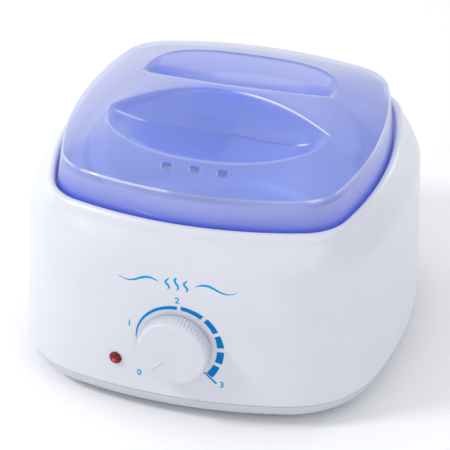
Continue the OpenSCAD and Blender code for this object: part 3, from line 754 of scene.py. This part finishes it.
def grip_dip(x, y):
    """How far the finger grips sink below the dome: steep at the bridge, then rising to the far edge."""
    out = np.zeros_like(x)
    for sign, tip, far, m, depth in GRIPS:
        u, near, away = grip_edges(x, tip, far, m)
        t = (sign * y - near) / (away - near)
        e = 0.9 / (away - near)
        t = 1 - soft_start(1 - soft_start(t, e), e * 0.8)
        floor = smooth_curve(t, [0, 0.12, 0.26, 0.46, 0.72, 1], [0, 0.62, 1, 0.9, 0.56, 0])
        out += np.where(sign * y > 0, GRIP_DEPTH * depth * (1 - u * u) * floor, 0)
    return out


def bell(off, width):
    """1 at no offset, falling off on both sides."""
    return np.exp(-(off / width) ** 2)


def edge_shine(x, y):
    """How the polished edges round the grips catch the light: 1 is a white glint, -1 a deep blue line."""
    out = np.zeros_like(x)
    for sign, tip, far, m, _ in GRIPS:
        _, near, away = grip_edges(x, tip, far, m)
        inside = window(x, -tip - 1, tip + 1, 2)
        bridge = bell(sign * y - near + 0.1, 0.4)
        rim = bell(sign * y - away - 0.5, 0.7)
        if sign < 0:
            # the fold where the near wall meets the grip's floor shows at both ends
            fold = np.interp(x, [-52, -38, 7, 42], [0.27, 0.32, 0.26, 0.44])
            light = 0.5 * window(x, -53, -35, 3) - 0.6 * window(x, 4, 41, 5) + 0.9 * window(x, 41, 47, 1.5)
            out += inside * (bridge * np.clip((x - 2) / 14, -0.45, 0.85) + 0.14 * rim)
            out += light * bell(-y - near - (away - near) * fold, 0.7)
        else:
            out += inside * (0.3 * bridge - 0.7 * rim * np.clip((tip - np.abs(x)) / 12, 0, 1))
    return np.clip(out, -1, 1)


def grip_area(x, y, grip):
    """Soft-edged mask of a grip, and how far a point is across it from the bridge."""
    sign, tip, far, m, _ = grip
    _, near, away = grip_edges(x, tip, far, m)
    mask = window(sign * y, near, away, 1.5) * window(x, -tip, tip, 6)
    return mask, np.clip((sign * y - near) / (away - near), 0, 1)


def lid_painted_tone(x, y):
    """Painted light and shade on the lid (1 deep blue, 0 plain, -1 pale) and how solid it is (1 shows least
    through it).
    """
    # painted shade: the grips' hollows are painted deep blue, and lit is painted reflections that lighten
    # patches of the front grip
    front, t = grip_area(x, y, GRIPS[0])
    lit = 0.35 * window(x, 5, 46, 4) * window(t, 0.08, 0.95, 0.1)
    lit += 0.3 * window(x, -50, -12, 8) * window(t, 0, 0.32, 0.08)
    # painted light and shade: the rear grip is deep next to the bridge and pale towards its far edge
    rear, u = grip_area(x, y, GRIPS[1])
    rear_shade_tone = np.interp(u, [0, 0.4, 0.65, 1], [1, 1, -0.4, -0.6])
    # painted light and shade: the dome is a little paler at the rear left, and bluer and more solid at the
    # front right, as the light falls from the left
    phi = np.arctan2(y, x)
    slope = (np.hypot(x, y) / reach(LID_A, LID_Q, phi)) ** 2 * np.cos(phi - math.radians(-60))
    dome = (1 - front) * (1 - rear)
    shade_tone = dome * np.where(slope > 0, 1.0, 0.3) * slope + front * (1 - lit) + rear * rear_shade_tone
    return shade_tone, rear + dome * np.clip(1.3 * slope, 0, 1)


def crease_shine(phi):
    """How the lid's crease catches the light, by direction from the centre: brighter on four stretches."""
    deg = np.degrees(phi) % 360
    out = np.full(len(deg), 0.1)
    for where, half, peak in ((225, 5, 0.5), (248, 17, 0.65), (312, 4, 0.6), (0, 42, 0.4)):
        off = np.abs((deg - where + 180) % 360 - 180)
        out = np.maximum(out, peak * np.clip((half - off) / 3, 0, 1))
    return out


def spread(knots, k):
    """k even steps from each knot to the next, without the last knot."""
    return np.concatenate([np.linspace(a, b, k, endpoint=False) for a, b in zip(knots[:-1], knots[1:])])


def mirrored(half):
    """Values from 0 up, with the same on the other side of 0."""
    return np.concatenate([-half[:0:-1], half])


def column_angle(c):
    """Turn from straight ahead at which a column meets the lid's front or rear edge, in degrees."""
    away = np.abs(c)
    w = np.where(away <= 1, away * 57, 57 + (away - 1) * 6)
    return np.sign(c) * 45 * np.arctan(w / 76) / math.atan(63 / 76)


def edge_point(deg):
    """Point of the lid's edge, where the crease starts to round over."""
    phi = np.radians(deg)
    r = reach(LID_A - CREASE, LID_Q, phi)
    return r * np.cos(phi), r * np.sin(phi)


def lid_grid(cols, lines):
    """Plan positions of the grid's points."""
    c, line = np.meshgrid(cols, lines)
    n = np.abs(line)
    s = np.sign(line)
    front = line < 0
    u = np.clip(c, -1, 1)
    tip, far, m = (np.where(front, a, b) for a, b in zip(GRIPS[0][1:4], GRIPS[1][1:4]))
    # inside the grips and on the bridge
    x = u * np.where(n < 1, MID_HALF + (tip - MID_HALF) * n, tip)
    near = bridge_edge(x)
    away = far_edge(np.abs(u), near, tip, far, m)
    share = np.interp(n, range(8), LINE_SHARE)
    y = np.where(n < 2, near * n / 2, near + (away - near) * share)
    # from the far edges out to the front and rear of the lid
    end_x, end_y = edge_point(np.where(front, 270 + column_angle(c), 90 - column_angle(c)))
    f = np.clip((n - 7) / 3, 0, 1)
    x = x + (end_x - x) * f
    y = s * y + (end_y - s * y) * f
    # from the grips' ends out to the sides
    side = np.interp(n, range(11), SIDE_DEG) * s
    side_x, side_y = edge_point(np.where(c > 0, side, 180 - side))
    g = np.clip(np.abs(c) - 1, 0, 1)
    x = x + (side_x - x) * g
    y = y + (side_y - y) * g
    return np.where(n >= 10, end_x, x), np.where(n >= 10, end_y, y)


def lid_lines():
    """Columns and lines of the grid, closer together where the surface bends."""
    half = spread([0, 0.16, 0.32, 0.48, 0.63, 0.76, 0.86, 0.93, 0.975, 1], 4)
    half = np.concatenate([half, np.linspace(1, 2, 17)])
    steps = (((0, 1), 2), ((1, 2), 7), ((2, 2.2), 5), ((2.2, 3, 4), 6), ((4, 5), 18), ((5, 6, 6.85), 6),
             ((6.85, 7.15), 10), ((7.15, 7.6), 3), ((7.6, 10), 12))
    line = np.concatenate([spread(knots, k) for knots, k in steps] + [[10]])
    return mirrored(half), mirrored(line)


def lid_skirt(crease_z):
    """Outline rows from the crease down to the skirt's foot and up inside; also how many round the crease."""
    start = np.array((LID_A - CREASE, LID_Q, crease_z))
    knee = np.array((LID_A + 0.3, LID_Q, LID_Z - 0.1))
    end = np.array((LID_A + 0.55, LID_Q, LID_Z - 2))
    turn = [bezier(t, start, knee, end) for t in np.linspace(0.14, 1, 7)]
    # how far the skirt's outer and inner faces stand out from the crease, and how high above the deck
    outer = [(1.05, 15), (2.1, 8), (2.7, 2), (2.8, 0.6), (2.4, 0.1)]
    inner = [(0.7, 0.1), (0.3, 0.6), (-0.7, 9), (-1.7, 16)]
    rows = [end] + [(LID_A + out, LID_Q, DECK_Z + up) for out, up in outer]
    rows += [(LID_A + out, LID_IN_Q, DECK_Z + up) for out, up in inner]
    return np.vstack([turn[:-1], smooth_rows(rows, (4, 5, 6, 7), 3)]), len(turn)


def add_values(mesh, name, values):
    mesh.attributes.new(name, "FLOAT", "POINT").data.foreach_set("value", values.astype(np.float32))


def build_lid():
    """Dome with two grips, a crisp crease and a skirt, as one wall of even thickness."""
    x, y = lid_grid(*lid_lines())
    ny, nx = x.shape
    top = np.stack([x, y, dome_z(x, y) - grip_dip(x, y)], 2).reshape(-1, 3)
    ids = np.array(sheet_edge(nx, ny))
    m = len(ids)
    phi = np.arctan2(top[ids, 1], top[ids, 0])
    # the underside: the top pushed down, its edge pulled in to the skirt's inner face
    low = top.copy()
    low[:, 2] -= LID_T
    low[ids] = outline(LID_A - 2.1, LID_IN_Q, LID_Z - LID_T, phi)
    skirt, turned = lid_skirt(float(np.mean(top[ids, 2])))
    rings = [outline(a, q, z, phi) for a, q, z in skirt]
    g = nx * ny
    faces = sheet_faces(nx, ny)
    chain = [list(ids)] + [[2 * g + k * m + i for i in range(m)] for k in range(len(rings))] + [list(g + ids)]
    for p, q in zip(chain[:-1], chain[1:]):
        for i in range(m):
            h = (i + 1) % m
            faces.append((p[i], q[i], q[h], p[h]))
    ob = new_mesh("lid_shell", np.concatenate([top, low] + rings), faces, lid_mat, SHADE_LIMIT)
    # the mesh carries painted light and shade (how deep the blue looks) and how solid the blue is at each
    # point, and how much an edge shines
    shade_tone, solid = lid_painted_tone(x, y)
    under = np.zeros(g)
    plain = np.zeros(len(rings) * m)
    over = [bell(k - 1.5, 1.1) if k < turned else 0 for k in range(len(rings))]
    add_values(ob.data, "shade_tone", np.concatenate([shade_tone.ravel(), under, plain]))
    add_values(ob.data, "solid", np.concatenate([solid.ravel(), under, plain]))
    crease = np.outer(over, crease_shine(phi)).ravel()
    add_values(ob.data, "shine", np.concatenate([edge_shine(x, y).ravel(), under, crease]))
    vents = [((v - 2.6, -65.1, DECK_Z + 8), (v + 2.6, -60.9, DECK_Z + 43)) for v in (-13.7, 0, 13.7)]
    cut(ob, vents, SHADE_LIMIT, 1.3)
    place(ob, "lid", "lid")


# ---------------- front panel
def wall_y(x, z):
    """Place of the front wall's surface at x and z."""
    lean = np.interp(z, [PART_Z + 1.3, 30, 46, 64, 80, WALL_H], [0, 0.25, 0.6, 1.1, 1.65, 2])
    a = BODY_A - lean
    s = SIDE_K * a
    return -(np.sqrt(s * s - np.asarray(x, float) ** 2) - (s - a))


PRINT_OUT = 0.06  # how far a print stands off the wall
PRINT_IN = 0.3  # how deep its back lies in the wall


def decal(name, rows, mat):
    """Thin printed patch on the front wall from a grid of (x, z) points."""
    grid = np.asarray(rows, float)
    ny, nx, _ = grid.shape
    x = grid[..., 0].ravel()
    z = grid[..., 1].ravel()
    y = wall_y(x, z)
    verts = np.concatenate([np.stack([x, y - PRINT_OUT, z], 1), np.stack([x, y + PRINT_IN, z], 1)])
    k = nx * ny
    faces = sheet_faces(nx, ny)
    edge = sheet_edge(nx, ny)
    for a, b in zip(edge, edge[1:] + edge[:1]):
        faces.append((a, k + a, k + b, b))
    place(new_mesh(name, verts, faces, mat), "base")


def dial_arc(name, a0, a1, inner, thick0, thick1, n=12, swell=1.0):
    """Arc round the knob from angle a0 to a1 (clockwise from straight up), growing in thickness."""
    rows = []
    for k in range(3):
        row = []
        for i in range(n + 1):
            t = i / n
            ang = math.radians(a0 + (a1 - a0) * t)
            r = inner + (thick0 + (thick1 - thick0) * t ** swell) * k / 2
            row.append((r * math.sin(ang), KNOB_Z + r * math.cos(ang)))
        rows.append(row)
    decal(name, rows, ink)


def stroke(name, points, widths):
    """Printed brush stroke through (x, z) points with a width at each."""
    p = smooth_rows(points, (), 6)
    w = smooth_rows(np.array(widths, float)[:, None], (), 6)
    d = np.gradient(p, axis=0)
    aside = np.stack([-d[:, 1], d[:, 0]], 1) / (np.linalg.norm(d, axis=1)[:, None] + 1e-9)
    decal(name, [p + aside * w * f for f in (0.5, 0, -0.5)], ink_pale)


def digit(text, x, z):
    """Printed digit centred on x and z: a flat font outline, thickened and laid on the wall."""
    name = "print_" + text
    cu = bpy.data.curves.new(name, "FONT")
    cu.body = text
    cu.size = 4.6 * MM
    cu.align_x = "CENTER"
    cu.align_y = "CENTER"
    cu.offset = 0.11 * MM
    flat = add_object(name + "_flat", cu)
    me = bpy.data.meshes.new_from_object(flat.evaluated_get(bpy.context.evaluated_depsgraph_get()))
    bpy.data.objects.remove(flat)
    bm = bmesh.new()
    bm.from_mesh(me)
    bmesh.ops.remove_doubles(bm, verts=bm.verts, dist=1e-7)
    out = bmesh.ops.extrude_face_region(bm, geom=list(bm.faces))
    raised = {v for v in out["geom"] if isinstance(v, bmesh.types.BMVert)}
    for v in bm.verts:
        px = x + v.co.x / MM
        pz = z + v.co.y / MM
        off = -PRINT_OUT if v in raised else PRINT_IN
        v.co = Vector((px, float(wall_y(px, pz)) + off, pz)) * MM
    bmesh.ops.recalc_face_normals(bm, faces=bm.faces)
    bm.to_mesh(me)
    bm.free()
    me.materials.clear()
    me.materials.append(ink_pale)
    place(add_object(name, me), "base")


def build_dial():
    """Arc that swells from off to the middle, five steps up to the end mark, and the digits 0 to 3."""
    dial_arc("print_low", -91, 1, 19.9, 0.15, 1.9, 48, 0.55)
    steps = ((6, 36, 2.1, 2.4), (41.5, 63.5, 2.7, 2.8), (68.5, 86, 2.9, 3.4), (92, 109, 3.4, 3.6),
             (114, 131.5, 3.4, 3.8))
    for i, (a0, a1, thick0, thick1) in enumerate(steps):
        dial_arc(f"print_step_{i + 1}", a0, a1, 20.1, thick0, thick1)
    dial_arc("print_end", 132.4, 134.4, 19.2, 8.4, 8.4, 3)
    for text, x, up in (("0", -18.6, -19.6), ("1", -23.6, 7.6), ("2", 0.4, 25), ("3", 22.6, -19.4)):
        digit(text, x, KNOB_Z + up)


def build_ornament():
    """Neutral ornament above the dial: three rising heat lines between two tapering flourishes."""
    for i, (x, tall) in enumerate(((-4.5, 6.5), (0, 8.5), (4.5, 6.5))):
        points = [(x + 0.9 * math.sin(k * 1.25), 74 + tall * k / 6) for k in range(7)]
        stroke(f"print_heat_{i + 1}", points, [0.3, 0.9, 1.2, 1.2, 1.1, 0.8, 0.25])
    for name, s in (("print_swash_l", -1), ("print_swash_r", 1)):
        points = [(s * (9 + 2.9 * k), 77.5 + 1.6 * math.sin(k * 0.9) - 0.12 * k) for k in range(8)]
        stroke(name, points, [0.3, 1.0, 1.3, 1.2, 1.0, 0.8, 0.5, 0.2])


def build_knob():
    """Ribbed knob: a hollow back, rounded ribs, a smooth shoulder and a softly bevelled face."""
    n = KNOB_RIBS * 10
    phi = turn_round(n)
    wave = 0.5 - 0.5 * np.cos(phi * KNOB_RIBS)
    r = KNOB_R
    b = KNOB_BACK
    f = KNOB_FACE
    hollow = b - 3.5
    # radius, y, and how much of the ribs' depth there is
    profile = [(9.5, hollow, 0), (9.5, b, 0), (r - 0.6, b, 0), (r - 0.15, b - 0.3, 0.3),
               (r + 0.1, b - 0.8, 1), (r - 0.05, f + 2, 1), (r - 0.4, f + 1.5, 0.35), (r - 0.6, f + 1.1, 0),
               (r - 0.75, f + 0.5, 0), (r - 1.15, f + 0.12, 0), (r - 1.7, f, 0), (12, f, 0)]
    verts = []
    for radius, y, amount in profile:
        ribbed = radius - 0.4 * amount * wave
        verts += [(a * math.sin(p), y, KNOB_Z + a * math.cos(p)) for a, p in zip(ribbed, phi)]
    end = len(verts)
    verts += [(0, f, KNOB_Z), (0, hollow, KNOB_Z)]
    faces = ring_faces(len(profile), n, False)
    for i in range(n):
        h = (i + 1) % n
        faces.append((end - n + i, end - n + h, end))
        faces.append((h, i, end + 1))
    place(new_mesh("knob_cap", verts, faces, knob_mat, 40), "knob", "knob")


def build_pointer():
    """Pointer ridge on the knob's face: a rounded bar along the radius, at half past seven."""
    ang = math.radians(225)
    along = np.array([math.sin(ang), math.cos(ang)])
    across = np.array([math.cos(ang), -math.sin(ang)])
    verts = []
    stations = ((6.2, 0.1), (6.5, 0.7), (7.2, 1.0), (13.6, 1.0), (14.4, 0.8), (14.9, 0.1))
    for r, k in stations:
        for w in np.linspace(0, math.pi, 9):
            x, up = along * r + across * (0.85 * k * math.cos(w))
            verts.append((x, KNOB_FACE + 0.05 - 0.55 * k * math.sin(w), KNOB_Z + up))
    ny = len(stations)
    nx = 9
    faces = [(j * nx + i, j * nx + i + 1, (j + 1) * nx + i + 1, (j + 1) * nx + i)
             for j in range(ny - 1) for i in range(nx - 1)]
    faces += end_caps(ny, nx)
    left = [j * nx for j in range(ny)]
    faces.append(tuple(left + [j + nx - 1 for j in reversed(left)]))
    place(new_mesh("knob_pointer", verts, faces, knob_mat, 50), "knob")


def build_lens():
    """Domed red lens on a thin flange, standing square to the wall."""
    r = LENS_R
    ball = r + 0.5
    sunk = 0.95
    profile = [(0, ball - sunk)] + arc(0, -sunk, ball, math.pi - 0.08, math.pi - 0.95, 12)
    profile += [(r - 0.05, 1.0), (r, 0.8), (r, 0.25), (r - 0.5, 0.25), (r - 0.5, -7), (0, -7)]
    ob = lathe("lens_dome", profile, red_mat, 96)
    for v in ob.data.vertices:
        v.co = lens_point(*(v.co / MM)) * MM
    place(ob, "base", "lamp_lens")


# ---------------- metal turnings
def build_pot():
    """Lift-out pot with a rounded foot and a rolled rim."""
    r = POT_R
    out = r + 1
    foot = 8
    z = POT_FOOT
    profile = [(0, z), (out - foot, z)] + arc(out - foot, z + foot, foot, 0.2, math.pi / 2, 8)
    profile += [(out, RIM_Z - 0.6), (out + 0.5, RIM_Z), (RIM_R - 0.8, RIM_Z)]
    profile += arc(RIM_R, RIM_Z + BEAD_R, BEAD_R, math.pi * 0.15, math.pi * 1.75, 12)
    profile += [(RIM_R - 1.2, RIM_Z + 1), (r + 1.4, RIM_Z + 1), (r + 0.4, RIM_Z + 0.6), (r, RIM_Z - 0.4)]
    profile += arc(r - 7, z + 8.2, 7, math.pi / 2, 0, 9) + [(0, z + 1.2)]
    place(lathe("pot_bowl", profile, pot_alu, 256), "pot", "inner_pot")


def build_cup():
    """Fixed well with a rounded foot and a flange on the deck."""
    r = CUP_R
    out = r + 1.2
    z = CUP_FOOT
    flange = [(FLANGE_R - 0.3, 0), (FLANGE_R, 0.3), (FLANGE_R, 0.9), (FLANGE_R - 0.3, 1.2), (out, 1.2),
              (r + 0.3, 0.9)]
    profile = [(0, z), (out - 5, z), (out - 1.5, z + 1.5), (out, z + 5), (out, DECK_Z)]
    profile += [(edge, DECK_Z + up) for edge, up in flange]
    profile += [(r, DECK_Z), (r, z + 5.5), (r - 1.4, z + 2.4), (r - 4.4, z + 1.2), (0, z + 1.2)]
    place(lathe("cup_well", profile, cup_alu, 256), "base", "heating_cup")


def build_bail_wire():
    """Half hoop in the plane of the pivot; each end turns inwards through its lug."""
    r = BAIL_R
    bend = 3.0
    tail = 5.6
    start = [(r - tail, 0), (r - bend, 0)] + arc(r - bend, bend, bend, 0.2, math.pi / 2, 6)
    hoop = arc(0, 0, r, math.pi / 2, math.pi * 1.5, 96)
    path = np.array(start + [p for p in hoop if p[1] > bend] + [(-x, y) for x, y in reversed(start)])
    d = np.gradient(path, axis=0)
    aside = np.stack([d[:, 1], -d[:, 0]], 1) / np.linalg.norm(d, axis=1)[:, None]
    k = 20
    verts = []
    for (x, y), (ax, ay) in zip(path, aside):
        for w in turn_round(k):
            out = WIRE_R * math.cos(w)
            verts.append((x + ax * out, y + ay * out, BAIL_Z + WIRE_R * math.sin(w)))
    faces = ring_faces(len(path), k, False) + end_caps(len(path), k)
    place(new_mesh("bail_wire", verts, faces, chrome, 50), "bail", "bail_handle")


def build_bail_grip():
    """Moulded grip with shallow rings, on the middle of the bail."""
    k = 28
    n = 120
    rings = 14
    verts = []
    for i, t in enumerate(np.linspace(math.radians(68), math.radians(112), n)):
        f = i / (n - 1)
        r = 3.05 - 0.25 * (0.5 - 0.5 * math.cos(f * 2 * math.pi * rings)) * (0.04 < f < 0.96)
        r -= 0.9 * max(0, 1 - min(f, 1 - f) / 0.02) ** 2
        for w in turn_round(k):
            out = BAIL_R + r * math.cos(w)
            verts.append((out * math.cos(t), out * math.sin(t), BAIL_Z + r * math.sin(w)))
    faces = ring_faces(n, k, False) + end_caps(n, k)
    place(new_mesh("bail_sleeve", verts, faces, grip_mat, 50), "bail", "bail_grip")


build_housing()
build_inlet_seat()
build_base_cover()
build_lid()
build_dial()
build_ornament()
build_knob()
build_pointer()
build_lens()
build_pot()
build_cup()
build_bail_wire()
build_bail_grip()
BEVELS = {"inlet_body": 0.5, "feet": 0.5, "bail_lugs": 0.25, "inlet_screws": 0.3, "base_screws": 0.2}
for node, width in BEVELS.items():
    bevel(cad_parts[node], width)


# ---------------- stage
def build_floor():
    me = bpy.data.meshes.new("floor")
    bm = bmesh.new()
    bmesh.ops.create_grid(bm, x_segments=2, y_segments=2, size=4)
    bm.to_mesh(me)
    bm.free()
    m = Nodes("floor_paper")
    m.base("Base Color", m.ramp(m.noise(3, 4), [(0.3, (0.93, 0.93, 0.935)), (0.7, (0.945, 0.945, 0.95))]))
    m.set(Roughness=0.9)
    me.materials.append(m.mat)
    add_object("floor", me)


def build_world():
    """Even studio light, white at the horizon and faintly blue overhead."""
    world = bpy.data.worlds.new("studio")
    bpy.context.scene.world = world
    world.use_nodes = True
    nt = world.node_tree
    background = nt.nodes["Background"]
    co = nt.nodes.new("ShaderNodeTexCoord")
    sep = nt.nodes.new("ShaderNodeSeparateXYZ")
    ramp = nt.nodes.new("ShaderNodeValToRGB")
    for stop, colour in zip(ramp.color_ramp.elements, ((1, 1, 1, 1), (0.93, 0.95, 1, 1))):
        stop.color = colour
    nt.links.new(co.outputs["Generated"], sep.inputs["Vector"])
    nt.links.new(sep.outputs["Z"], ramp.inputs["Fac"])
    nt.links.new(ramp.outputs["Color"], background.inputs["Color"])
    background.inputs["Strength"].default_value = 0.82


def softbox(name, spot, size, power):
    """White area light aimed at the middle of the object; sizes in metres."""
    data = bpy.data.lights.new(name, "AREA")
    data.shape = "RECTANGLE"
    data.size, data.size_y = size
    data.energy = power
    ob = add_object(name, data)
    ob.location = spot
    ob.rotation_euler = (Vector((0, 0, 0.08)) - Vector(spot)).to_track_quat("-Z", "Y").to_euler()


def build_camera():
    """Long lens, from the front right above, with the object filling the frame."""
    azimuth = math.radians(14.8)
    elevation = math.radians(31.1)
    roll = math.radians(0.6)
    distance = 1.303
    target = Vector((0, 0, 0.074))
    flat = math.cos(elevation)
    back = Vector((math.sin(azimuth) * flat, -math.cos(azimuth) * flat, math.sin(elevation)))
    data = bpy.data.cameras.new("camera")
    data.sensor_width = 36
    data.lens = 208
    data.shift_x = -0.007
    data.shift_y = -0.073
    cam = add_object("camera", data)
    cam.location = target + back * distance
    cam.rotation_mode = "QUATERNION"
    cam.rotation_quaternion = (-back).to_track_quat("-Z", "Y") @ Quaternion((0, 0, 1), roll)
    bpy.context.scene.camera = cam


build_floor()
build_world()
softbox("key_left", (-0.95, -0.6, 1.05), (0.3, 0.14), 8)
softbox("rim_right", (0.75, 1.15, 0.45), (0.4, 0.5), 2)
softbox("left_soft", (-1.4, 0.5, 0.5), (0.8, 0.8), 3)
softbox("right_soft", (1.3, -0.9, 0.8), (0.9, 0.9), 2.5)
build_camera()
bpy.context.scene.view_settings.view_transform = "Standard"
